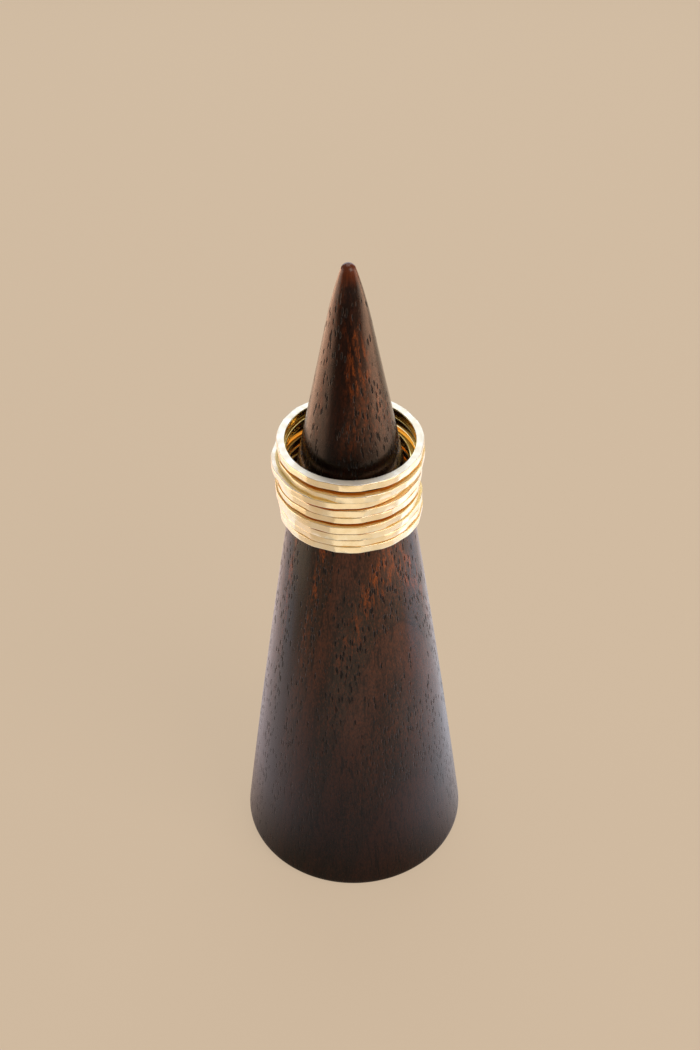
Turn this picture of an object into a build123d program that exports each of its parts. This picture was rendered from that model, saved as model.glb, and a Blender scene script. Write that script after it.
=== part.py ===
"""A stack of thin hammered finger rings on a turned wooden ring cone.

Millimetres, +Z up, -Y is the front. The origin is the middle of the cone's base, on the table.
"""

from build123d import *
from collections import namedtuple
from math import atan2, cos, degrees, hypot, pi, radians, sin, tan
import os

# ---- the wooden ring cone ---------------------------------------------------------------
CONE_HEIGHT = 99.8
BASE_RADIUS = 17.2
BASE_EDGE_RADIUS = 1.2
SHOULDER_HEIGHT = 69.0      # the taper quickens here, inside the stack
SHOULDER_RADIUS = 7.42
SHOULDER_BLEND = 60.0       # a long soft blend: no crease is felt at the shoulder
LOWER_BOW = 0.25            # how far the lower flank swells out of a straight taper
NOSE_HEIGHT = 92.0          # from here the flank rounds over towards the tip
NOSE_RADIUS = 2.8
TIP_RADIUS = 1.0

# ---- the rings --------------------------------------------------------------------------
RING_BORE_RADIUS = 8.65     # 17.3 mm inside, a common finger size
RING_OUTER_RADIUS = 9.87    # to the ridges between two hammer marks
RIDGE_UNEVEN = 0.05         # how much lower every other ridge is
HAMMER_MARKS = 18           # flats round one ring
MARK_DRIFT = 0.26           # how uneven the flats are in length, as a share of one flat
EDGE_BREAK = 0.10           # outer edges, broken by the hammer
BORE_ROUNDING = 0.15        # inner edges, rounded for the finger
TOUCH_GAP = 0.08            # between two rings where they come closest
FIRST_RING_HEIGHT = 62.3    # where the bore of the lowest ring meets the taper

# The rings from the lowest up. Each is slid on by hand, so it leans and sits a little off the axis:
# front_up and right_up are leans in degrees, right and back are shifts in mm.
Band = namedtuple("Band", "height front_up right_up right back")
STACK = [
    Band(height=1.00, front_up=0.0, right_up=-0.6, right=0.0, back=-0.1),
    Band(height=0.95, front_up=-1.0, right_up=-0.4, right=-0.1, back=0.0),
    Band(height=1.00, front_up=-1.6, right_up=-0.2, right=-0.1, back=-0.1),
    Band(height=1.10, front_up=-2.1, right_up=-1.0, right=-0.4, back=-0.2),
    Band(height=0.90, front_up=-1.1, right_up=-0.2, right=-0.3, back=0.1),
    Band(height=1.05, front_up=-2.3, right_up=0.0, right=-0.2, back=0.1),
    Band(height=0.95, front_up=-2.0, right_up=-1.3, right=-0.8, back=0.1),
    Band(height=1.00, front_up=-3.6, right_up=-0.8, right=0.1, back=0.0),
    Band(height=1.05, front_up=-1.9, right_up=-0.8, right=0.0, back=0.3),
]

os.makedirs("parts", exist_ok=True)


# ---- ring cone: one turned piece --------------------------------------------------------
def nose_arcs():
    """Points on the two arcs from the straight upper flank to the tip, each tangent to the next."""
    slope = atan2(SHOULDER_RADIUS - NOSE_RADIUS, NOSE_HEIGHT - SHOULDER_HEIGHT)
    tip_centre = CONE_HEIGHT - TIP_RADIUS
    drop = NOSE_HEIGHT - tip_centre
    outward = NOSE_RADIUS * cos(slope) + drop * sin(slope)
    nose_arc_radius = (NOSE_RADIUS**2 + drop**2 - TIP_RADIUS**2) / (2 * (outward - TIP_RADIUS))
    centre_x = NOSE_RADIUS - nose_arc_radius * cos(slope)
    centre_y = NOSE_HEIGHT - nose_arc_radius * sin(slope)
    meeting = atan2(tip_centre - centre_y, -centre_x)
    halfway = (slope + meeting) / 2
    nose_middle = (
        centre_x + nose_arc_radius * cos(halfway),
        centre_y + nose_arc_radius * sin(halfway),
    )
    nose_end = (TIP_RADIUS * cos(meeting), tip_centre + TIP_RADIUS * sin(meeting))
    crown = (meeting + pi / 2) / 2
    tip_middle = (TIP_RADIUS * cos(crown), tip_centre + TIP_RADIUS * sin(crown))
    return nose_middle, nose_end, tip_middle


nose_start = (NOSE_RADIUS, NOSE_HEIGHT)
nose_middle, nose_end, tip_middle = nose_arcs()
lower_middle = ((BASE_RADIUS + SHOULDER_RADIUS) / 2 + LOWER_BOW, SHOULDER_HEIGHT / 2)

with BuildPart() as ring_cone:
    with BuildSketch(Plane.XZ) as half_profile:
        with BuildLine():
            Line((0, 0), (BASE_RADIUS, 0))
            ThreePointArc((BASE_RADIUS, 0), lower_middle, (SHOULDER_RADIUS, SHOULDER_HEIGHT))
            Line((SHOULDER_RADIUS, SHOULDER_HEIGHT), nose_start)
            ThreePointArc(nose_start, nose_middle, nose_end)
            ThreePointArc(nose_end, tip_middle, (0, CONE_HEIGHT))
            Line((0, CONE_HEIGHT), (0, 0))
        make_face()
        base_corner = half_profile.vertices().sort_by(Axis.X)[-1]
        fillet(base_corner, BASE_EDGE_RADIUS)
        shoulder = half_profile.vertices().sort_by_distance((SHOULDER_RADIUS, SHOULDER_HEIGHT, 0))[0]
        fillet(shoulder, SHOULDER_BLEND)
    revolve(axis=Axis.Z)

ring_cone.part.label = "ring_cone"
export_step(ring_cone.part, "parts/ring_cone.step")


# ---- rings: hammered bands, stacked from the lowest up ----------------------------------
def ridge(number, index):
    """One corner of the hammered outline: ridges are unevenly spaced and unevenly proud."""
    drift = MARK_DRIFT * sin(2.4 * index + 1.7 * number)
    angle = 2 * pi * (index + drift) / HAMMER_MARKS
    radius = RING_OUTER_RADIUS - RIDGE_UNEVEN * (1 + sin(1.9 * index + 0.8 * number)) / 2
    return (radius * cos(angle), radius * sin(angle))


def slopes(band):
    """Rise of the band's plane towards +X and towards +Y."""
    return tan(radians(band.right_up)), -tan(radians(band.front_up))


def seat_height(band, below, height_below):
    """Height of a band's underside, so that it just clears the band below at their closest point."""
    x_slope, y_slope = slopes(band)
    x_below, y_below = slopes(below)
    top_below = height_below + below.height
    top_below += x_below * (band.right - below.right) + y_below * (band.back - below.back)
    return top_below + TOUCH_GAP + RING_OUTER_RADIUS * hypot(x_slope - x_below, y_slope - y_below)


height = FIRST_RING_HEIGHT
for number, band in enumerate(STACK, start=1):
    if number > 1:
        height = seat_height(band, STACK[number - 2], height)
    x_slope, y_slope = slopes(band)
    seat = Plane(
        origin=(band.right, band.back, height),
        x_dir=(1, 0, x_slope),
        z_dir=(-x_slope, -y_slope, 1),
    )
    with BuildPart() as ring:
        with BuildSketch(seat):
            with BuildLine():
                Polyline([ridge(number, index) for index in range(HAMMER_MARKS)], close=True)
            make_face()
            Circle(RING_BORE_RADIUS, mode=Mode.SUBTRACT)
        extrude(amount=band.height)
        bore_edges = ring.edges().filter_by(GeomType.CIRCLE)
        fillet(bore_edges, BORE_ROUNDING)
        flat_faces = ring.faces().filter_by(lambda face: abs(face.normal_at().dot(seat.z_dir)) > 0.99)
        outer_edges = flat_faces.edges().filter_by(GeomType.LINE)
        chamfer(outer_edges, EDGE_BREAK)
    ring.part.label = f"ring_{number}"
    export_step(ring.part, f"parts/ring_{number}.step")
    lean = degrees(atan2(hypot(x_slope, y_slope), 1))
    print(f"ring_{number} underside {height:.2f} lean {lean:.1f} volume {ring.part.volume:.1f}")
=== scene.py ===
# %% [markdown]
# # A stack of hammered rings on a wooden ring cone
# This lesson builds one piece of jewellery: nine thin gold bands, each hammered by hand and slid
# over a turned cone of dark wood. The solid model made before holds every size and place, so the
# first thing to do is to load it and to read from it, and not to move anything by eye again.
# Sizes are written in millimetres here, and `MM` turns them into Blender's metres.

import math
from collections import namedtuple

import bpy
import numpy as np
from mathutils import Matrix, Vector


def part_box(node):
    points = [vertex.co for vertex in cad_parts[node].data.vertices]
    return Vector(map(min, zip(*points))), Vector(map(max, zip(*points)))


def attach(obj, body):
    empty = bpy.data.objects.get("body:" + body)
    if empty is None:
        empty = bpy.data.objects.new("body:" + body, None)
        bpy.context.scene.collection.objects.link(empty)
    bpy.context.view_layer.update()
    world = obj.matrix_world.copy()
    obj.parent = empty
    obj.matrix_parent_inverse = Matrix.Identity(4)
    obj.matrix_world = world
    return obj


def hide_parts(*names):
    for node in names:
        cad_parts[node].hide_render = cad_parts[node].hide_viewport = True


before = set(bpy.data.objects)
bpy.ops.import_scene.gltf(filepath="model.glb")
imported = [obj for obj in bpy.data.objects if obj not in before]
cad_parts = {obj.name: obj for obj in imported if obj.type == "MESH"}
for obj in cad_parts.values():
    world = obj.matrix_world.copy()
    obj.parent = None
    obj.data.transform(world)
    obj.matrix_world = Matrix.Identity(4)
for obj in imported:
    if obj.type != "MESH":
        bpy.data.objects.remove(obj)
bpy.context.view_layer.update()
MM = 0.001
print("nodes:", sorted(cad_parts))

# %% [markdown]
# ## Helpers
# The cone and the bands both go once round an axis, so each of them is a grid of points whose
# last column meets its first. One helper turns such a grid into an object. The rows of a band
# close as well, so it is a solid ring. The rows of the cone end at the middle of the base and at
# the tip, and the two small holes left there are closed with a face each.


# %% A grid of points becomes a mesh
def grid_mesh(name, points, close_rows, materials, finish=None):
    """points[row][column] is a point; columns always close round, rows close if asked.

    finish[row][column] says which of the materials the face above and beside that point takes.
    """
    rows, columns = points.shape[:2]
    faces = []
    for row in range(rows if close_rows else rows - 1):
        above = (row + 1) % rows
        for column in range(columns):
            beside = (column + 1) % columns
            faces.append((
                row * columns + column,
                row * columns + beside,
                above * columns + beside,
                above * columns + column,
            ))
    if not close_rows:
        faces.append(tuple(reversed(range(columns))))
        faces.append(tuple(range((rows - 1) * columns, rows * columns)))
    mesh = bpy.data.meshes.new(name)
    mesh.from_pydata([tuple(v) for v in points.reshape(-1, 3)], [], faces)
    mesh.polygons.foreach_set("use_smooth", [True] * len(faces))
    for material in materials:
        mesh.materials.append(material)
    if finish is not None:
        mesh.polygons.foreach_set("material_index", np.asarray(finish, dtype=np.int32).ravel())
    mesh.update()
    piece = bpy.data.objects.new(name, mesh)
    bpy.context.scene.collection.objects.link(piece)
    print(name, "has", len(faces), "faces")
    return piece


def stand_in_for(piece, node):
    """The piece rides on the one body and is shown in place of the CAD node."""
    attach(piece, "root")
    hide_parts(node)


# %% [markdown]
# ## Camera
# The rings are seen from the front and from well above, so that the top band shows as an open
# ellipse with the cone standing in it. The camera is about nineteen centimetres from the bands,
# level from side to side, and looks down at forty degrees. It stands a little to the right of
# the axis, and the lens shift brings the cone back to the middle of the picture.

# %% Place the camera
CAMERA_RIGHT_MM = 2.7
CAMERA_BACK_MM = 152.0
CAMERA_HEIGHT_MM = 186.0
CAMERA_PITCH = math.radians(39.9)
LENS_MM = 49.2
SENSOR_MM = 36.0
SIDE_SHIFT = -0.0198

camera_data = bpy.data.cameras.new("camera")
camera_data.lens = LENS_MM
camera_data.sensor_width = SENSOR_MM
camera_data.shift_x = SIDE_SHIFT
camera_data.clip_start = 5 * MM
camera_data.clip_end = 20000 * MM
camera = bpy.data.objects.new("camera", camera_data)
camera.location = Vector((CAMERA_RIGHT_MM, -CAMERA_BACK_MM, CAMERA_HEIGHT_MM)) * MM
camera.rotation_euler = (math.pi / 2 - CAMERA_PITCH, 0.0, 0.0)
bpy.context.scene.collection.objects.link(camera)
bpy.context.scene.camera = camera
print("camera at", tuple(round(c, 4) for c in camera.location))


# %% [markdown]
# ## Material tools
# Wood and gold are both procedural: shader nodes work out the colour, the roughness and the bump
# from the place on the piece. A few small functions keep the node trees short to read. `between`
# and `stretch` are the ones to remember: the first turns a value into a soft step, and the second
# joins two such steps, so that its mask is 1 along one stretch and 0 before and after it.


# %% Small functions that add nodes
def new_material(name):
    material = bpy.data.materials.new(name)
    material.use_nodes = True
    tree = material.node_tree
    return material, tree, tree.nodes["Principled BSDF"]


def feed(tree, socket, value):
    """Gives a socket a plain value, or links another socket to it."""
    if isinstance(value, bpy.types.NodeSocket):
        tree.links.new(value, socket)
    else:
        socket.default_value = value


def add(tree, kind, inputs=None, **settings):
    """Adds a node. inputs maps a socket's name or number to a value or to another socket."""
    node = tree.nodes.new(kind)
    for key, value in settings.items():
        setattr(node, key, value)
    for key, value in (inputs or {}).items():
        feed(tree, node.inputs[key], value)
    return node


def calc(tree, operation, *values):
    return add(tree, "ShaderNodeMath", dict(enumerate(values)), operation=operation).outputs[0]


def product(tree, first, *others):
    for other in others:
        first = calc(tree, "MULTIPLY", first, other)
    return first


def mix_colour(tree, amount, first, second):
    """first where amount is 0, second where it is 1."""
    node = add(tree, "ShaderNodeMix", data_type="RGBA", clamp_factor=True)
    for number, value in ((0, amount), (6, first), (7, second)):
        feed(tree, node.inputs[number], value)
    return node.outputs[2]


def between(tree, value, low, high, out_low=0.0, out_high=1.0):
    """Maps value from low..high to out_low..out_high with soft ends. low may be the larger."""
    return add(
        tree,
        "ShaderNodeMapRange",
        {"Value": value, "From Min": low, "From Max": high, "To Min": out_low, "To Max": out_high},
        interpolation_type="SMOOTHSTEP",
    ).outputs[0]


def stretch(tree, value, rise_from, rise_to, fall_from, fall_to):
    """A mask that rises to 1 between the first two values and falls to 0 between the last two."""
    rise = between(tree, value, rise_from, rise_to)
    return product(tree, rise, between(tree, value, fall_to, fall_from))


def place_in_mm(tree):
    """The place on the piece, in its own frame, which never slides when the camera moves."""
    place = add(tree, "ShaderNodeTexCoord").outputs["Object"]
    return add(tree, "ShaderNodeVectorMath", {0: place, "Scale": 1 / MM}, operation="SCALE").outputs[0]


def parts_of(tree, vector):
    """The right, back and up parts of a place."""
    return add(tree, "ShaderNodeSeparateXYZ", {0: vector}).outputs[:3]


def bump_into(tree, shader, height_mm):
    """Bump for relief too fine to be worth a mesh. height_mm is how far it stands proud."""
    bump = add(tree, "ShaderNodeBump", {"Height": height_mm, "Strength": 1.0, "Distance": MM})
    tree.links.new(bump.outputs["Normal"], shader.inputs["Normal"])


def srgb(red, green, blue):
    """A colour as a maker would mix it on a screen, 0 to 255, as the linear values a node wants."""
    parts = [c / 255 for c in (red, green, blue)]
    linear = [p / 12.92 if p <= 0.04045 else ((p + 0.055) / 1.055) ** 2.4 for p in parts]
    return (*linear, 1.0)


# %% [markdown]
# Wood fibres run up the cone, and the file marks on the gold have no direction, but both start
# from the same idea: a noise whose grains have a size in millimetres along each axis. Since both
# materials use it, it is a node group with named inputs and one output, built only once.


# %% Shared group: stretched noise in millimetres
def make_grain_group():
    group = bpy.data.node_groups.new("stretched_grain", "ShaderNodeTree")
    group.interface.new_socket("Size mm", in_out="INPUT", socket_type="NodeSocketVector")
    group.interface.new_socket("Detail", in_out="INPUT", socket_type="NodeSocketFloat")
    group.interface.new_socket("Value", in_out="OUTPUT", socket_type="NodeSocketFloat")
    inside = group.nodes.new("NodeGroupInput")
    outside = group.nodes.new("NodeGroupOutput")
    cells = add(
        group,
        "ShaderNodeVectorMath",
        {0: place_in_mm(group), 1: inside.outputs["Size mm"]},
        operation="DIVIDE",
    )
    noise = add(
        group,
        "ShaderNodeTexNoise",
        {"Vector": cells.outputs[0], "Scale": 1.0, "Detail": inside.outputs["Detail"]},
    )
    group.links.new(noise.outputs["Fac"], outside.inputs["Value"])
    return group


GRAIN = make_grain_group()


def grain(tree, across_mm, along_mm, detail=2.0):
    """Noise with grains so wide across the cone and so tall along its axis."""
    node = add(tree, "ShaderNodeGroup", node_tree=GRAIN)
    node.inputs["Size mm"].default_value = (across_mm, across_mm, along_mm)
    node.inputs["Detail"].default_value = detail
    return node.outputs["Value"]


print(GRAIN.name, "has", len(GRAIN.nodes), "nodes")

# %% [markdown]
# ## Dark wood
# The cone is turned from one block of dark, open-pored wood with its fibres upright. Growth
# layers are tall cylinders round the heart of the tree, which lay outside the block. Where the
# lathe cut the taper across them they come out as pointed arches on the front and as nearly
# straight lines on the sides, so the colour is worked out from the distance to the tree's heart,
# through the solid, and the arches then come by themselves. The pores are tiny tubes cut open:
# short dark dashes, crowded along each growth layer.

# %% Wood: where the figure lies
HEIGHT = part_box("ring_cone")[1].z / MM
ARCH_TURN = math.radians(36)      # the arches stand this far to the right of the front
HEART_DEPTH_MM = 30.0             # the tree's heart lies this far behind the cone's axis
HEART_MM = (-HEART_DEPTH_MM * math.sin(ARCH_TURN), HEART_DEPTH_MM * math.cos(ARCH_TURN))
FIRST_ARCH_MM = 40.5              # distance from the heart at which one layer ends
LAYER_MM = 4.2                    # thickness of one growth layer
WANDER, RIPPLE = 0.22, 0.14       # how far a layer strays, as shares of its thickness


def growth_layer(tree, in_mm):
    """A number that rises by 1 from one growth layer to the next, outward from the heart."""
    right, back, _ = parts_of(tree, in_mm)
    across = calc(tree, "SUBTRACT", right, HEART_MM[0])
    deep = calc(tree, "SUBTRACT", back, HEART_MM[1])
    square = calc(tree, "ADD", product(tree, across, across), product(tree, deep, deep))
    reach = calc(tree, "SQRT", square)
    layer = calc(tree, "DIVIDE", calc(tree, "SUBTRACT", reach, FIRST_ARCH_MM), LAYER_MM)
    wander = calc(tree, "SUBTRACT", grain(tree, 15.0, 40.0, 1.0), 0.5)
    ripple = calc(tree, "SUBTRACT", grain(tree, 1.6, 9.0), 0.5)
    layer = calc(tree, "ADD", layer, product(tree, wander, WANDER))
    return calc(tree, "ADD", layer, product(tree, ripple, RIPPLE))


print("the tree's heart is at", [round(c, 1) for c in HEART_MM], "mm from the cone's axis")

# %% [markdown]
# Real wood is never one brown. The ground is mixed from dark to light like a stain, one soft mask
# after another: broad patches, the porous and the calm part of each growth layer, specks, single
# fibres and thin dark veins. Warm streaks, like embers, show in the middle of each layer and in a
# rusty patch on the right of the upper cone, which is partly painted warm light from the right.
# Darker wood towards the foot is painted shade, and so is the nearly black wood in and just above the
# stack.

# %% Wood: the colour between the pores
DARK_BROWN, MID_BROWN = srgb(44, 28, 22), srgb(80, 47, 34)
POROUS_BROWN, CALM_BROWN = srgb(64, 50, 40), srgb(90, 57, 44)
LIGHT_SPECK, DARK_SPECK = srgb(108, 60, 40), srgb(30, 19, 16)
FIBRE_BROWN, VEIN_BROWN = srgb(28, 18, 15), srgb(24, 15, 13)
HEARTWOOD, FOOT_SHADE_BROWN = srgb(20, 12, 10), srgb(28, 22, 22)
EMBER, BRIGHT_EMBER = srgb(126, 60, 34), srgb(168, 86, 34)
SHADED_BROWN, TIP_BROWN = srgb(10, 5, 4), srgb(104, 44, 8)

POROUS_PART = (0.30, 0.58, 0.985, 1.0)    # along one layer: where the pores crowd
CALM_PART = (0.0, 0.03, 0.20, 0.42)       # where there are few
GLOWING_PART = (0.48, 0.58, 0.72, 0.86)   # where the embers are
HEARTWOOD_LAYERS = (-1.40, -1.72)         # it darkens from the first of these to the second
OLDER_LAYERS = (-2.35, -2.05)             # further in than this it is lighter again
# The rusty patch is partly the wood's colour and partly painted warm light on the right.
RUST_AND_WARM_LIGHT_MM = (79.0, 85.0, 91.0, 95.0)        # heights over which the rusty patch comes and goes
RUST_AND_WARM_LIGHT_FROM_RIGHT_MM = (-1.4, 0.6)          # it lies to the right of this
# painted shade of the rings, on the wood in and just above the stack
SHADED_MM = (64.0, 68.0, 74.0, 79.0)      # heights inside the stack
# painted shade: the wood is painted darker towards the table
FOOT_SHADE_MM = (52.0, 4.0)                     # it darkens from the first height down to the second
TIP_TINT_MM = (3.0, 0.4)                  # the tip warms over this depth below the very top


def glowing(tree, phase, patches, across, height):
    """Where embers show: along each layer, most in the middle of the cone, and in the rusty patch, which
    is partly painted warm light from the right.
    """
    bands = product(
        tree,
        stretch(tree, phase, *GLOWING_PART),
        between(tree, height, 36.0, 56.0, 0.30, 1.0),
        between(tree, height, 62.0, 68.0, 1.0, 0.50),
    )
    # painted warm light: the rusty patch on the right half of the upper cone
    rust_and_warm_light = product(
        tree,
        stretch(tree, height, *RUST_AND_WARM_LIGHT_MM),
        between(tree, patches, 0.48, 0.60, 0.0, 0.85),
        between(tree, across, *RUST_AND_WARM_LIGHT_FROM_RIGHT_MM),
    )
    return calc(tree, "MAXIMUM", bands, rust_and_warm_light)


def wood_ground(tree, in_mm, layer, porous, fibres, fine_fibres):
    across, _, height = parts_of(tree, in_mm)
    phase = calc(tree, "FRACT", layer)
    patches = grain(tree, 6.0, 18.0)
    speckle = grain(tree, 0.20, 0.55)
    veins = grain(tree, 0.55, 17.0, 1.0)
    embers = product(tree, between(tree, grain(tree, 0.42, 6.5, 3.0), 0.44, 0.66),
                     between(tree, fine_fibres, 0.34, 0.60))
    glow = glowing(tree, phase, patches, across, height)
    ember_colour = mix_colour(tree, glow, EMBER, BRIGHT_EMBER)
    heartwood = product(tree, between(tree, layer, *HEARTWOOD_LAYERS, 0.0, 0.80),
                        between(tree, layer, *OLDER_LAYERS, 0.15, 1.0))
    tip_from, tip_to = (HEIGHT - depth for depth in TIP_TINT_MM)
    stains_and_shade = (
        (product(tree, porous, 0.55), POROUS_BROWN),
        (product(tree, stretch(tree, phase, *CALM_PART), 0.55), CALM_BROWN),
        (between(tree, speckle, 0.50, 0.68, 0.0, 0.60), LIGHT_SPECK),
        (between(tree, speckle, 0.48, 0.32, 0.0, 0.65), DARK_SPECK),
        (between(tree, fibres, 0.48, 0.68, 0.0, 0.60), FIBRE_BROWN),
        (between(tree, veins, 0.64, 0.72, 0.0, 0.75), VEIN_BROWN),
        (heartwood, HEARTWOOD),
        (product(tree, embers, calc(tree, "ADD", 0.08, product(tree, glow, 0.62))), ember_colour),
        # painted shade towards the foot
        (between(tree, height, *FOOT_SHADE_MM, 0.0, 0.66), FOOT_SHADE_BROWN),
        # painted shade of the rings on the wood in and above the stack
        (product(tree, stretch(tree, height, *SHADED_MM), 0.90), SHADED_BROWN),
        (between(tree, height, tip_from, tip_to, 0.0, 0.75), TIP_BROWN),
    )
    ground = mix_colour(tree, between(tree, patches, 0.38, 0.62), DARK_BROWN, MID_BROWN)
    for amount, colour in stains_and_shade:
        ground = mix_colour(tree, amount, ground, colour)
    return ground


# %% [markdown]
# A pore is one cell of a stretched Voronoi pattern, kept or dropped by a colour that each cell
# has by chance, so the dashes never line up. Small pores crowd in the porous part of a layer and
# larger ones are strewn between them. Polish has filled many of them near the foot, and fingers
# have closed them at the tip. A pore is dark, dull and sunk, so one mask steers all three.

# %% Wood: the pores and the finish
PORE_CELL_MM = (0.46, 0.46, 2.0)          # one small pore in each such cell, tall and narrow
STRAY_CELL_MM = (0.70, 0.70, 3.6)         # the larger, lonelier pores
STRAY_MOVED_MM = (3.1, 7.7, 1.3)          # moved aside, so that they do not fall on the small ones
PORE_BLACK = srgb(12, 8, 7)
FILLED_FOOT_MM = (6.0, 46.0)              # pores are mostly filled below the first height
CLOSED_TIP_MM = (1.5, 6.0)                # and closed this close to the very top
BURNISHED_MM = (1.3, 0.4)                 # the shine of the tip, again below the very top
FIBRE_RELIEF_MM, PORE_DEPTH_MM = 0.006, 0.08


def pores(tree, in_mm, cell_mm, size, crowding):
    """A mask of short dashes: 1 inside a pore. crowding, 0 to 1, says how many cells hold one."""
    cells = add(tree, "ShaderNodeVectorMath", {0: in_mm, 1: cell_mm}, operation="DIVIDE").outputs[0]
    dots = add(tree, "ShaderNodeTexVoronoi", {"Vector": cells, "Scale": 1.0, "Randomness": 1.0})
    chance = add(tree, "ShaderNodeSeparateColor", {0: dots.outputs["Color"]}).outputs[0]
    there = calc(tree, "LESS_THAN", chance, crowding)
    return product(tree, there, between(tree, dots.outputs["Distance"], size, size * 0.6))


def open_pores(tree, in_mm, porous):
    """Small and stray pores together, where neither polish nor fingers have closed them."""
    _, _, height = parts_of(tree, in_mm)
    moved = add(tree, "ShaderNodeVectorMath", {0: in_mm, 1: STRAY_MOVED_MM}, operation="ADD").outputs[0]
    crowd = calc(tree, "ADD", 0.09, product(tree, porous, 0.88))
    stray_crowd = calc(tree, "ADD", 0.25, product(tree, porous, 0.5))
    small = pores(tree, in_mm, PORE_CELL_MM, 0.34, crowd)
    stray = pores(tree, moved, STRAY_CELL_MM, 0.24, stray_crowd)
    closed, still_open = (HEIGHT - depth for depth in CLOSED_TIP_MM)
    return product(
        tree,
        calc(tree, "MAXIMUM", small, stray),
        between(tree, height, *FILLED_FOOT_MM, 0.30, 1.0),
        between(tree, height, closed, still_open),
    )


def make_dark_wood():
    material, tree, shader = new_material("dark_wood")
    in_mm = place_in_mm(tree)
    layer = growth_layer(tree, in_mm)
    porous = stretch(tree, calc(tree, "FRACT", layer), *POROUS_PART)
    fibres = grain(tree, 0.34, 3.4, 3.0)
    fine_fibres = grain(tree, 0.10, 0.7)
    ground = wood_ground(tree, in_mm, layer, porous, fibres, fine_fibres)
    holes = open_pores(tree, in_mm, porous)

    colour = mix_colour(tree, product(tree, holes, 0.93), ground, PORE_BLACK)
    tree.links.new(colour, shader.inputs["Base Color"])
    rough = calc(tree, "ADD", between(tree, fibres, 0.3, 0.7, 0.20, 0.28), product(tree, holes, 0.4))
    tree.links.new(rough, shader.inputs["Roughness"])
    relief = calc(tree, "SUBTRACT", product(tree, fine_fibres, FIBRE_RELIEF_MM),
                  product(tree, holes, PORE_DEPTH_MM))
    bump_into(tree, shader, relief)

    _, _, height = parts_of(tree, in_mm)
    shine_from, shine_to = (HEIGHT - depth for depth in BURNISHED_MM)
    tree.links.new(between(tree, height, shine_from, shine_to, 0.0, 0.35), shader.inputs["Coat Weight"])
    shader.inputs["Coat Roughness"].default_value = 0.30
    shader.inputs["IOR"].default_value = 1.32
    return material


DARK_WOOD = make_dark_wood()
print(DARK_WOOD.name, "has", len(DARK_WOOD.node_tree.nodes), "nodes")

# %% [markdown]
# ## The ring cone
# A turned piece is a profile swept round an axis. The taper has four stretches: a lower flank
# that swells by a quarter of a millimetre, a quicker upper flank, a nose that rounds over, and
# the tip. The profile is worked out from the same few sizes as the solid model, and its total
# height is read from it.

# %% Cone: the turned profile
BASE_RADIUS = 17.2
BASE_EDGE = 1.2
SHOULDER_HEIGHT = 69.0
SHOULDER_RADIUS = 7.42
SHOULDER_BLEND = 6.0      # the taper changes softly over this far up and down
LOWER_BOW = 0.25
NOSE_HEIGHT = 92.0
NOSE_RADIUS = 2.8
TIP_RADIUS = 1.0
ROUND = 288               # columns of points round the cone


def arc(centre, radius, start, end, count):
    """Points on an arc, without its first one."""
    turn = np.linspace(start, end, count)[1:]
    return np.stack([centre[0] + radius * np.cos(turn), centre[1] + radius * np.sin(turn)], axis=1)


def nose_profile():
    """The two arcs from the straight upper flank to the very tip, each tangent to the next."""
    slope = math.atan2(SHOULDER_RADIUS - NOSE_RADIUS, NOSE_HEIGHT - SHOULDER_HEIGHT)
    tip_centre = HEIGHT - TIP_RADIUS
    drop = NOSE_HEIGHT - tip_centre
    outward = NOSE_RADIUS * math.cos(slope) + drop * math.sin(slope)
    radius = (NOSE_RADIUS ** 2 + drop ** 2 - TIP_RADIUS ** 2) / (2 * (outward - TIP_RADIUS))
    centre = (NOSE_RADIUS - radius * math.cos(slope), NOSE_HEIGHT - radius * math.sin(slope))
    meeting = math.atan2(tip_centre - centre[1], -centre[0])
    nose = arc(centre, radius, slope, meeting, 40)
    tip = arc((0.0, tip_centre), TIP_RADIUS, meeting, math.pi / 2 - 0.01, 22)
    return np.concatenate([nose, tip])


def cone_profile():
    """Radius and height from the middle of the base to the very tip."""
    lean = math.atan((BASE_RADIUS - SHOULDER_RADIUS) / SHOULDER_HEIGHT)
    centre = BASE_RADIUS - BASE_EDGE * (math.tan(lean) + 1 / math.cos(lean))
    under = np.array([[0.02, 0.0], [centre * 0.5, 0.0], [centre * 0.97, 0.0]])
    edge = arc((centre, BASE_EDGE), BASE_EDGE, -math.pi / 2 - 0.1, lean, 16)
    lift = np.linspace(0.022, 1.0, 150)
    swell = LOWER_BOW * 4 * lift * (1 - lift)
    lower = np.stack([BASE_RADIUS + (SHOULDER_RADIUS - BASE_RADIUS) * lift + swell,
                      SHOULDER_HEIGHT * lift], axis=1)
    climb = np.linspace(0.0, 1.0, 70)[1:]
    upper = np.stack([SHOULDER_RADIUS + (NOSE_RADIUS - SHOULDER_RADIUS) * climb,
                      SHOULDER_HEIGHT + (NOSE_HEIGHT - SHOULDER_HEIGHT) * climb], axis=1)
    return np.concatenate([under, edge, lower, upper, nose_profile()])


def soften_shoulder(line):
    """Blends the change of taper over a few millimetres, as the lathe and the sandpaper do."""
    radius, height = line[:, 0].copy(), line[:, 1]
    near = np.abs(height - SHOULDER_HEIGHT) < SHOULDER_BLEND
    share = 1 - np.abs(height[near] - SHOULDER_HEIGHT) / SHOULDER_BLEND
    turn = (BASE_RADIUS - SHOULDER_RADIUS) / SHOULDER_HEIGHT + 4 * LOWER_BOW / SHOULDER_HEIGHT
    turn -= (SHOULDER_RADIUS - NOSE_RADIUS) / (NOSE_HEIGHT - SHOULDER_HEIGHT)
    radius[near] += turn * SHOULDER_BLEND / 4 * share ** 2
    return np.stack([radius, height], axis=1)


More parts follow.
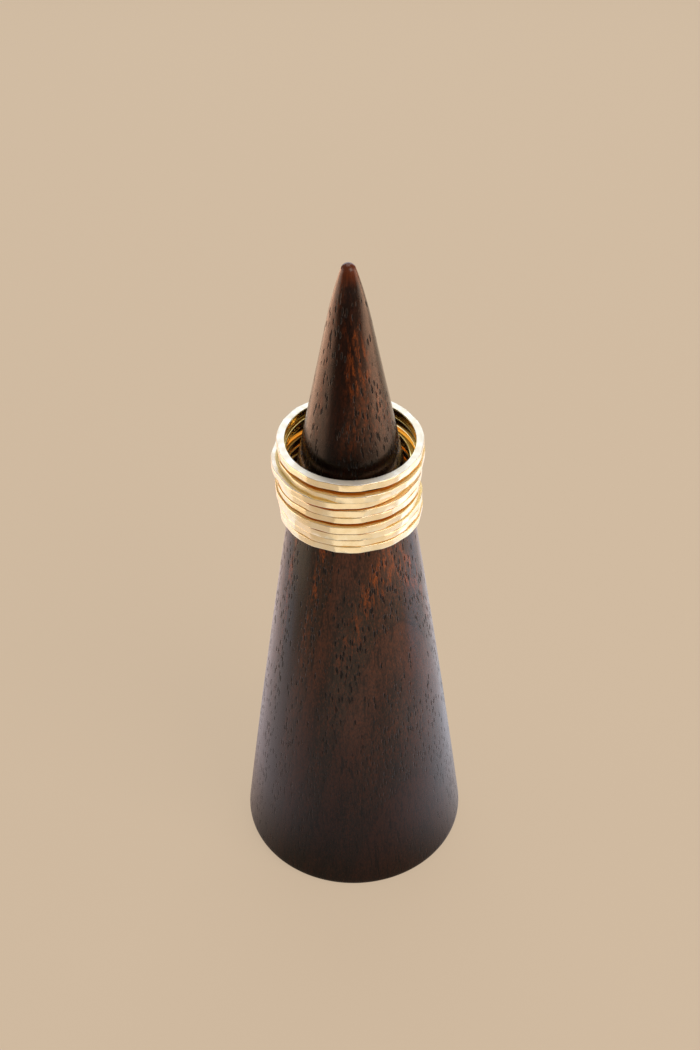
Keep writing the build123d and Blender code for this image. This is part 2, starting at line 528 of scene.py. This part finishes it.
# %% Cone: sweep it round
profile = soften_shoulder(cone_profile())
around = np.linspace(0.0, 2 * np.pi, ROUND, endpoint=False)
points = np.empty((len(profile), ROUND, 3))
points[:, :, 0] = profile[:, :1] * np.cos(around) * MM
points[:, :, 1] = profile[:, :1] * np.sin(around) * MM
points[:, :, 2] = profile[:, 1:] * MM
turned_cone = grid_mesh("turned_cone", points, False, [DARK_WOOD])
stand_in_for(turned_cone, "ring_cone")
print("cone height in mm:", round(float(profile[:, 1].max()), 2))

# %% [markdown]
# ## Gold
# Gold tints what it mirrors, so the colour sits in the metal and all the life comes from what
# stands round it. Five materials share one pale yellow gold. The outside is hammered and left
# satin: its flats are real geometry, and only the fine file grain is bump. The flat edge of a
# band is filed and silky, and the bore is polished smooth for the finger. The other two paint
# light and shade into the warm lines between the bands. Light that falls in there goes from gold
# to gold several times and takes more colour at each turn, so the lip, where a band comes out from
# under the next, is painted deeper in colour, and the seam below it is painted a shaded deep amber.
# At the two sides both are painted paler, for the light from the sides that reaches in there.

# %% Gold: one function, three finishes and two colours of painted light for the seams
GOLD, DEEP_GOLD = srgb(252, 239, 208), srgb(247, 227, 184)
# Painted side light: beyond these distances the seam and lip colours turn paler.
SIDE_LIGHT_FROM_MM = (4.5, 8.0)       # to the left and right of the axis
GRIT_SIZE_MM, CLOUD_SIZE_MM = 0.05, 1.3


def make_gold(name, light, deep, roughness, grit_mm, metal=1.0, gloss=0.5, side_lit=None):
    """grit_mm is the depth of the file grain, and the last argument the paler colour painted at the two
    sides, for the light that reaches the seams there.
    """
    material, tree, shader = new_material(name)
    cloud = grain(tree, CLOUD_SIZE_MM, CLOUD_SIZE_MM)
    colour = mix_colour(tree, between(tree, cloud, 0.35, 0.65, 0.0, 0.6), light, deep)
    # painted light: towards both sides the colour turns paler, for the side light that reaches in
    if side_lit:
        right, _, _ = parts_of(tree, place_in_mm(tree))
        aside = calc(tree, "ABSOLUTE", right)
        colour = mix_colour(tree, between(tree, aside, *SIDE_LIGHT_FROM_MM), colour, side_lit)
    tree.links.new(colour, shader.inputs["Base Color"])
    rough = between(tree, cloud, 0.3, 0.7, roughness * 0.85, roughness * 1.15)
    tree.links.new(rough, shader.inputs["Roughness"])
    bump_into(tree, shader, product(tree, grain(tree, GRIT_SIZE_MM, GRIT_SIZE_MM), grit_mm))
    shader.inputs["Metallic"].default_value = metal
    shader.inputs["Specular IOR Level"].default_value = gloss
    return material


GOLD_FINISHES_AND_PAINTED_SEAMS = [
    make_gold("gold_hammered", GOLD, DEEP_GOLD, 0.21, 0.0012),
    make_gold("gold_edge", srgb(253, 246, 234), srgb(251, 241, 222), 0.54, 0.001),
    make_gold("gold_bore", srgb(253, 226, 154), srgb(250, 216, 134), 0.14, 0.0002),
    # The seam and lip colours paint the warm light and the shade in the gaps between the bands.
    make_gold("gold_seam", srgb(230, 150, 48), srgb(214, 124, 24), 0.75, 0.002,
              metal=0.6, gloss=0.1, side_lit=srgb(255, 220, 120)),
    make_gold("gold_lip", srgb(255, 222, 142), srgb(254, 208, 118), 0.55, 0.001,
              metal=0.30, side_lit=srgb(255, 236, 176)),
]
SATIN, BARE, POLISHED, SEAM, LIP = range(len(GOLD_FINISHES_AND_PAINTED_SEAMS))
print("finishes:", [material.name for material in GOLD_FINISHES_AND_PAINTED_SEAMS])

# %% [markdown]
# ## The bands
# A hammered band is a ring bent from flat wire and then planished: each blow leaves a flat, and
# neighbouring flats meet in a crisp ridge. A flat is a plane, and a surface made of many planes
# is simply, at each place, the nearest of them to the axis. So the outside radius is worked out
# as the lowest of many planes, each a little tilted, and the slanting ridges come by themselves.
# Where a band sits is read from the frame: the direction of its flat edges, its middle and its
# height.

# %% Bands: where each one sits
Seat = namedtuple("Seat", "origin right back upward height bore")


def read_seat(node):
    """Where a band's underside is centred, its three directions, its height and its bore radius."""
    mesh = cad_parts[node].data
    spots = np.array([v.co for v in mesh.vertices]) / MM
    upward = np.zeros(3)
    for face in mesh.polygons:
        if face.normal.z > 0.99:
            upward += np.array(face.normal) * face.area
    upward /= np.linalg.norm(upward)
    right = np.array([1.0, 0.0, -upward[0] / upward[2]])
    right /= np.linalg.norm(right)
    back = np.cross(upward, right)
    rough_middle = (spots.max(axis=0) + spots.min(axis=0)) / 2
    flat = np.stack([(spots - rough_middle) @ right, (spots - rough_middle) @ back], axis=1)
    middle = np.zeros(2)
    for slack in (0.3, 0.05, 0.02):    # each round keeps fewer points, those truly on the bore
        distance = np.hypot(*(flat - middle).T)
        wall = flat[distance < distance.min() + slack]
        circle = np.column_stack([2 * wall, np.ones(len(wall))])
        fit = np.linalg.lstsq(circle, (wall ** 2).sum(axis=1), rcond=None)[0]
        middle = fit[:2]
    bore = math.sqrt(fit[2] + middle @ middle)
    heights = (spots - rough_middle) @ upward
    origin = rough_middle + middle[0] * right + middle[1] * back + heights.min() * upward
    return Seat(origin, right, back, upward, float(np.ptp(heights)), bore)


NUMBERS = range(1, 10)    # from the lowest band up
SEATS = {number: read_seat(f"ring_{number}") for number in NUMBERS}
for number, seat in SEATS.items():
    print("band", number, "bore", round(seat.bore, 3), "height", round(seat.height, 2),
          "middle", seat.origin.round(2), "lean deg", round(math.degrees(math.acos(seat.upward[2])), 1))

# %% [markdown]
# The big flats lie where they lie on the solid model, but none is as deep as the deepest there,
# because filing and polishing take the blows down. Every other ridge or so gets a lighter,
# slanting blow as well, which is what keeps the row of flats from looking machined. The blows
# stop short of each other, so a little of the round is left between them. The dice are seeded
# with the band's number, so every run hammers the same rings.

# %% Bands: the hammer's flats
HAMMER_MARKS = 18
MARK_DRIFT = 0.26
RING_OUTER_MM = 9.87
RIDGE_UNEVEN_MM = 0.05
ROUND_MM = 9.77           # radius of the round that is left between two flats
FLAT_DEPTH_MM = 0.105     # no big blow goes deeper than this below that round
RIDGE_SOFT_MM = 0.009     # how softly one plane passes into the next
FLAT_TURN, FLAT_TILT = 0.03, 0.045          # most that a big flat turns, in radians, and tilts
LIGHT_BLOWS = 0.5                           # share of the ridges that get one
LIGHT_TURN, LIGHT_TILT = 0.06, (0.06, 0.13)
LIGHT_LEVEL_MM = (-0.01, 0.03)              # a light blow's plane, from the round
FIRST_SEED = 40


def ridge(number, index):
    """One corner of the hammered outline, at the same place as on the solid model."""
    drift = MARK_DRIFT * math.sin(2.4 * index + 1.7 * number)
    angle = 2 * math.pi * (index + drift) / HAMMER_MARKS
    radius = RING_OUTER_MM - RIDGE_UNEVEN_MM * (1 + math.sin(1.9 * index + 0.8 * number)) / 2
    return radius * math.cos(angle), radius * math.sin(angle)


def hammer_flats(number, dice):
    """Direction, distance and tilt of each flat of a band: the big ones and the light blows."""
    flats = []
    for index in range(HAMMER_MARKS):
        x0, y0 = ridge(number, index)
        x1, y1 = ridge(number, index + 1)
        direction = math.atan2(x0 - x1, y1 - y0)
        distance = x0 * math.cos(direction) + y0 * math.sin(direction)
        distance = max(distance, ROUND_MM - FLAT_DEPTH_MM)
        direction += dice.uniform(-FLAT_TURN, FLAT_TURN)
        flats.append((direction, distance, dice.uniform(-FLAT_TILT, FLAT_TILT)))
        if dice.random() < LIGHT_BLOWS:
            corner = math.atan2(y1, x1) + dice.uniform(-LIGHT_TURN, LIGHT_TURN)
            side = dice.choice((-1.0, 1.0))
            distance = ROUND_MM + dice.uniform(*LIGHT_LEVEL_MM)
            flats.append((corner, distance, side * dice.uniform(*LIGHT_TILT)))
    return np.array(flats)


def outer_radius(flats, angle, level):
    """The lowest of the planes and the round at each angle, level mm above the band's middle."""
    direction, distance, tilt = flats.T
    turn = angle[:, None] - direction
    turn = (turn + np.pi) % (2 * np.pi) - np.pi
    ahead = np.cos(turn)
    facing = ahead > 0.6      # a plane behind or beside the place does not count
    reach = np.where(facing, (distance + tilt * level) / np.maximum(ahead, 0.6), 99.0)
    reach = np.concatenate([reach, np.full((len(angle), 1), ROUND_MM)], axis=1)
    lowest = reach.min(axis=1, keepdims=True)
    share = np.exp(-(reach - lowest) / RIDGE_SOFT_MM).sum(axis=1, keepdims=True)
    return (lowest - RIDGE_SOFT_MM * np.log(share))[:, 0]


def slow_waves(angle, dice, size_mm):
    """A gentle unevenness round the band, the sum of a few waves."""
    total = np.zeros_like(angle)
    for count in (7, 11, 15, 19):
        total += np.sin(count * angle + dice.uniform(0, 2 * np.pi)) * dice.uniform(0.4, 1.0)
    return size_mm * total / 2


for number in NUMBERS:
    flats = hammer_flats(number, np.random.default_rng(FIRST_SEED + number))
    print("band", number, "has", HAMMER_MARKS, "big flats and", len(flats) - HAMMER_MARKS, "light blows")

# %% [markdown]
# The section of a band is a rounded rectangle. Its outer edges are broken by the hammer and its
# bore is rounded for the finger. On the solid model the bands keep a tenth of a millimetre of
# air. The shown ones are a hair taller, so that they seem to lie on each other, and still do not
# touch. `cover` measures how far each place on a band's upper edge lies under the band above it,
# which tells where the open edge ends, where the lip is, and where the seam begins.

# %% Bands: sweep the section round
BAND_STEPS = 900
ANGLES = np.linspace(0, 2 * np.pi, BAND_STEPS, endpoint=False)
UPPER_CORNER_MM = (0.12, 0.07)    # rounding of the outer edges: inward, and up or down
LOWER_CORNER_MM = (0.07, 0.06)
BORE_ROUNDING_MM = 0.15
SNUG_MM = 0.036                   # added above and below
WAVE_MM = 0.003
LIP_MM = (-0.30, 0.05)            # how far under the band above the lip begins and ends
SEAM_DEPTH_MM = 0.6               # further under it, the edge is as polished as the bore
FOOT_LEVEL_MM = -0.4              # the band above is measured near its foot
OPEN_EDGE_SHARES = (0.06, 0.12, 0.18, 0.25, 0.35, 0.55, 1.0)


def cover(points, above):
    """How far inside the outline of the band above each point lies, in mm."""
    seat = SEATS[above]
    flats = hammer_flats(above, np.random.default_rng(FIRST_SEED + above))
    x = (points - seat.origin) @ seat.right
    y = (points - seat.origin) @ seat.back
    outline = outer_radius(flats, np.arctan2(y, x).ravel(), FOOT_LEVEL_MM).reshape(x.shape)
    return outline - np.hypot(x, y)


def band_section(number, height, bore):
    """Rows round the section, from the outside over the top to the bore and back underneath.

    A row is a radius and a level at every angle, and the finish of the faces that follow it.
    """
    dice = np.random.default_rng(FIRST_SEED + number)
    flats = hammer_flats(number, dice)
    top_wave = slow_waves(ANGLES, dice, WAVE_MM)
    low_wave = slow_waves(ANGLES, dice, WAVE_MM)
    rows, finishes = [], []

    def row(radius, level, finish):
        share = level / height
        rows.append((radius, level + share * top_wave + (1 - share) * low_wave))
        finishes.append(finish)

    def side(level):
        return outer_radius(flats, ANGLES, level - height / 2)

    upper_in, upper_down = UPPER_CORNER_MM
    lower_in, lower_up = LOWER_CORNER_MM
    inner_rim = np.full(BAND_STEPS, bore + BORE_ROUNDING_MM)
    shoulder = side(height - upper_down)
    foot = side(lower_up)
    for level in np.linspace(lower_up, height - upper_down, 9):
        row(side(level), level, SATIN)
    for turn in np.radians((18, 36, 54, 72, 90)):
        row(shoulder - upper_in * (1 - math.cos(turn)), height - upper_down * (1 - math.sin(turn)),
            SATIN if turn < 0.6 else BARE)
    for share in OPEN_EDGE_SHARES:
        row((shoulder - upper_in) * (1 - share) + inner_rim * share, height, BARE)
    for turn in np.radians((22, 45, 67, 90)):
        row(inner_rim - BORE_ROUNDING_MM * math.sin(turn),
            height - BORE_ROUNDING_MM * (1 - math.cos(turn)), POLISHED)
    for turn in np.radians((90, 67, 45, 22, 0)):
        row(inner_rim - BORE_ROUNDING_MM * math.sin(turn),
            BORE_ROUNDING_MM * (1 - math.cos(turn)), POLISHED)
    # the underside and the lower corner take the seam and lip colours, painted light and shade of the
    # gap
    for share in (0.33, 0.67, 1.0):
        row(inner_rim * (1 - share) + (foot - lower_in) * share, 0.0, SEAM)
    for turn in np.radians((75, 60, 45, 30, 15)):
        row(foot - lower_in * (1 - math.cos(turn)), lower_up * (1 - math.sin(turn)),
            LIP if turn > 0.6 else SATIN)
    return rows, finishes


def band_grid(number):
    """The points of a band and the finish of each face: rows by section, columns round the finger."""
    seat = SEATS[number]
    origin = seat.origin - SNUG_MM * seat.upward
    rows, finishes = band_section(number, seat.height + 2 * SNUG_MM, seat.bore)
    grid = np.empty((len(rows), BAND_STEPS, 3))
    for index, (radius, level) in enumerate(rows):
        grid[index] = origin + np.outer(radius * np.cos(ANGLES), seat.right)
        grid[index] += np.outer(radius * np.sin(ANGLES), seat.back)
        grid[index] += np.outer(level, seat.upward)
    finish = np.repeat(np.array(finishes)[:, None], BAND_STEPS, axis=1)
    if number + 1 in SEATS:
        middles = (grid + np.roll(grid, -1, axis=0)) / 2
        middles = (middles + np.roll(middles, -1, axis=1)) / 2
        depth = cover(middles, number + 1)
        bare = finish == BARE
        # under the band above, the lip and seam colours paint the light and shade of the gap
        finish[bare & (depth > LIP_MM[0])] = LIP
        finish[bare & (depth > LIP_MM[1])] = SEAM
        finish[bare & (depth >= SEAM_DEPTH_MM)] = POLISHED
    return grid * MM, finish


for number in NUMBERS:
    points, finish = band_grid(number)
    band = grid_mesh(f"hammered_band_{number}", points, True, GOLD_FINISHES_AND_PAINTED_SEAMS, finish)
    stand_in_for(band, f"ring_{number}")

# %% [markdown]
# ## The floor
# Metal shows the room rather than itself, and so does polished wood, so the floor is half of the
# look. It is a plain sand-coloured table. One fifth of its colour is paint, which answers to the
# lamps and shows the soft shadow. The rest is a glow of its own, which keeps it even from edge to
# edge. What the gold and the wood mirror of it is lit like a table under a window: brighter to
# the left and right, and dark towards the maker, who stands in the way of the light there.

# %% Floor: paint and glow
FLOOR_REACH_MM = 3000.0
SAND = srgb(212, 190, 164)
LIT_SHARE = 0.20                # the share of its colour that is paint
GLOW_SHARE = 1 - LIT_SHARE
DARK_FRONT_MM = (-240.0, -150.0)          # mirrored, the front of the table goes dark between these
# painted shade: what the gold and wood mirror of the table darkens near the foot
NEAR_FOOT_MM = (18.0, 65.0)               # and the table darkens towards the foot between these
SIDE_DEPTH_MM = (-50.0, 5.0, 80.0, 130.0)   # where the bright sides lie, from front to back
LEFT_MM = (-90.0, -50.0, -30.0, -10.0)      # and from left to right
RIGHT_MM = (8.0, 28.0, 50.0, 90.0)
RIGHT_FADE_MM = (12.0, 40.0)                # the right one weakens from here towards the back
CLOSE_MM = (19.0, 32.0, 60.0, 85.0)         # a cooler ring of table round the foot
LEFT_GLOW, RIGHT_GLOW = (0.66, 0.50, 0.52), (0.80, 0.80, 0.92)
CLOSE_GLOW = (0.02, 0.11, 0.20)


def dimmed(tree, colour, amount):
    return add(tree, "ShaderNodeVectorMath", {0: colour, "Scale": amount}, operation="SCALE").outputs[0]


def mirrored_table(tree, plain_glow):
    """The table's glow as gold and wood mirror it: brighter at both sides, dark in front, and darker
    near the foot as a painted shade.
    """
    in_mm = place_in_mm(tree)
    right, back, _ = parts_of(tree, in_mm)
    away = add(tree, "ShaderNodeVectorMath", {0: in_mm}, operation="LENGTH").outputs["Value"]
    front = between(tree, back, *DARK_FRONT_MM, 0.05, 1.0)
    # painted shade near the foot in the mirrored glow
    near_foot = between(tree, away, *NEAR_FOOT_MM, 0.45, 1.0)
    depth = stretch(tree, back, *SIDE_DEPTH_MM)
    fade = between(tree, back, *RIGHT_FADE_MM, 1.0, 0.72)
    glow = dimmed(tree, plain_glow, product(tree, front, near_foot))
    extra = (
        (LEFT_GLOW, product(tree, stretch(tree, right, *LEFT_MM), depth)),
        (RIGHT_GLOW, product(tree, stretch(tree, right, *RIGHT_MM), fade, depth)),
        (CLOSE_GLOW, stretch(tree, away, *CLOSE_MM)),
    )
    for colour, amount in extra:
        inputs = {0: glow, 1: dimmed(tree, colour, amount)}
        glow = add(tree, "ShaderNodeVectorMath", inputs, operation="ADD").outputs[0]
    return glow


def make_floor():
    material, tree, shader = new_material("floor_paint")
    shader.inputs["Base Color"].default_value = (*(c * LIT_SHARE for c in SAND[:3]), 1.0)
    shader.inputs["Roughness"].default_value = 0.9
    shader.inputs["Specular IOR Level"].default_value = 0.0
    plain_glow = [c * GLOW_SHARE for c in SAND[:3]]
    rays = add(tree, "ShaderNodeLightPath").outputs
    straight = calc(tree, "MAXIMUM", rays["Is Camera Ray"], rays["Is Transmission Ray"])
    seen = {
        0: dimmed(tree, mirrored_table(tree, plain_glow), rays["Is Glossy Ray"]),
        1: dimmed(tree, plain_glow, straight),
    }
    glow = add(tree, "ShaderNodeVectorMath", seen, operation="ADD").outputs[0]
    tree.links.new(glow, shader.inputs["Emission Color"])
    shader.inputs["Emission Strength"].default_value = 1.0

    reach = FLOOR_REACH_MM * MM
    corners = [(x * reach, y * reach, 0.0) for x, y in ((-1, -1), (1, -1), (1, 1), (-1, 1))]
    mesh = bpy.data.meshes.new("floor")
    mesh.from_pydata(corners, [], [(0, 1, 2, 3)])
    mesh.materials.append(material)
    floor = bpy.data.objects.new("floor", mesh)
    bpy.context.scene.collection.objects.link(floor)


make_floor()
print("floor reaches", FLOOR_REACH_MM, "mm each way")

# %% [markdown]
# ## Lights
# A large soft lamp hangs overhead and a warm key lamp stands to the right of the maker. The
# upright sides of the bands and the steep wood mirror what lies low round them, so most of the
# other lights are cards that lie on the table and face up. The camera does not see them. Near
# ones are small and steer the gold, and far ones are large and steer the shine down both sides
# of the wood. A pale, cool wall at the back makes the flat top edge of the highest band shine like
# silver, and a window at each side lights the seams.

# %% Lamps and cards
Card = namedtuple("Card", "name place aim size strength colour")
UP = None
CARDS = [
    Card("overhead", (0, 240, 680), (0, 0, 0), (500, 500), 1.6, (1.0, 0.98, 0.95)),
    Card("key", (380, -330, 400), (0, 0, 60), (400, 400), 3.4, (1.0, 0.90, 0.80)),
    Card("front_card", (0, -95, 2), UP, (80, 70), 0.39, (1.0, 0.93, 0.76)),
    Card("front_right_card", (85, -60, 2), UP, (90, 70), 0.24, (1.0, 0.98, 0.86)),
    Card("right_card", (83, 42, 2), UP, (28, 110), 1.15, (0.42, 0.68, 1.0)),
    Card("right_far_card", (140, -20, 2), UP, (84, 170), 1.35, (1.0, 0.72, 0.60)),
    Card("left_card", (-79, 45, 2), UP, (26, 100), 0.55, (0.36, 0.66, 1.0)),
    Card("left_far_card", (-140, 10, 2), UP, (86, 110), 1.30, (1.0, 0.78, 0.55)),
    Card("back_card", (0, 190, 2), UP, (360, 190), 0.50, (1.0, 0.74, 0.52)),
    Card("left_table", (-535, 85, 3), UP, (650, 490), 3.4, (1.0, 0.57, 0.37)),
    Card("left_back_table", (-200, 150, 4), UP, (200, 200), 2.6, (1.0, 0.57, 0.37)),
    Card("right_table", (355, 35, 3), UP, (290, 340), 5.4, (1.0, 0.58, 0.37)),
    Card("right_front_table", (250, -270, 3), UP, (260, 280), 1.2, (1.0, 0.55, 0.33)),
    Card("back_wall", (0, 420, 262), (0, 0, 262), (520, 404), 1.50, (0.72, 0.87, 1.0)),
    Card("left_window", (-420, 40, 130), (0, 0, 60), (320, 240), 1.3, (1.0, 0.90, 0.80)),
    Card("right_window", (440, 60, 120), (0, 0, 60), (260, 220), 1.5, (1.0, 0.90, 0.80)),
]


def hang(card):
    """A soft rectangular light. strength is its radiance: 1 looks as bright as a white wall."""
    data = bpy.data.lights.new(card.name, "AREA")
    data.shape = "RECTANGLE"
    data.size, data.size_y = (length * MM for length in card.size)
    data.energy = card.strength * math.pi * data.size * data.size_y
    data.color = card.colour
    lamp = bpy.data.objects.new(card.name, data)
    lamp.location = Vector(card.place) * MM
    aim = Vector((0, 0, 1)) if card.aim is UP else Vector(card.aim) - Vector(card.place)
    lamp.rotation_euler = aim.to_track_quat("-Z", "Y").to_euler()
    lamp.visible_camera = False
    bpy.context.scene.collection.objects.link(lamp)


for card in CARDS:
    hang(card)
print(len(CARDS), "lights")

# %% [markdown]
# The world is a dim, slightly warm grey for the light it gives, and the floor's own sand colour
# where the camera looks past the floor, so that the two run into each other. The Standard view
# transform shows each colour about as it is written.

# %% World and view
ROOM_GREY = (0.220, 0.209, 0.198, 1.0)
world = bpy.data.worlds.new("studio")
world.use_nodes = True
sky = world.node_tree
to_camera = add(sky, "ShaderNodeLightPath").outputs["Is Camera Ray"]
backdrop = sky.nodes["Background"].inputs
sky.links.new(mix_colour(sky, to_camera, ROOM_GREY, SAND), backdrop["Color"])
backdrop["Strength"].default_value = 1.0
bpy.context.scene.world = world
bpy.context.scene.view_settings.view_transform = "Standard"
print("view transform:", bpy.context.scene.view_settings.view_transform)
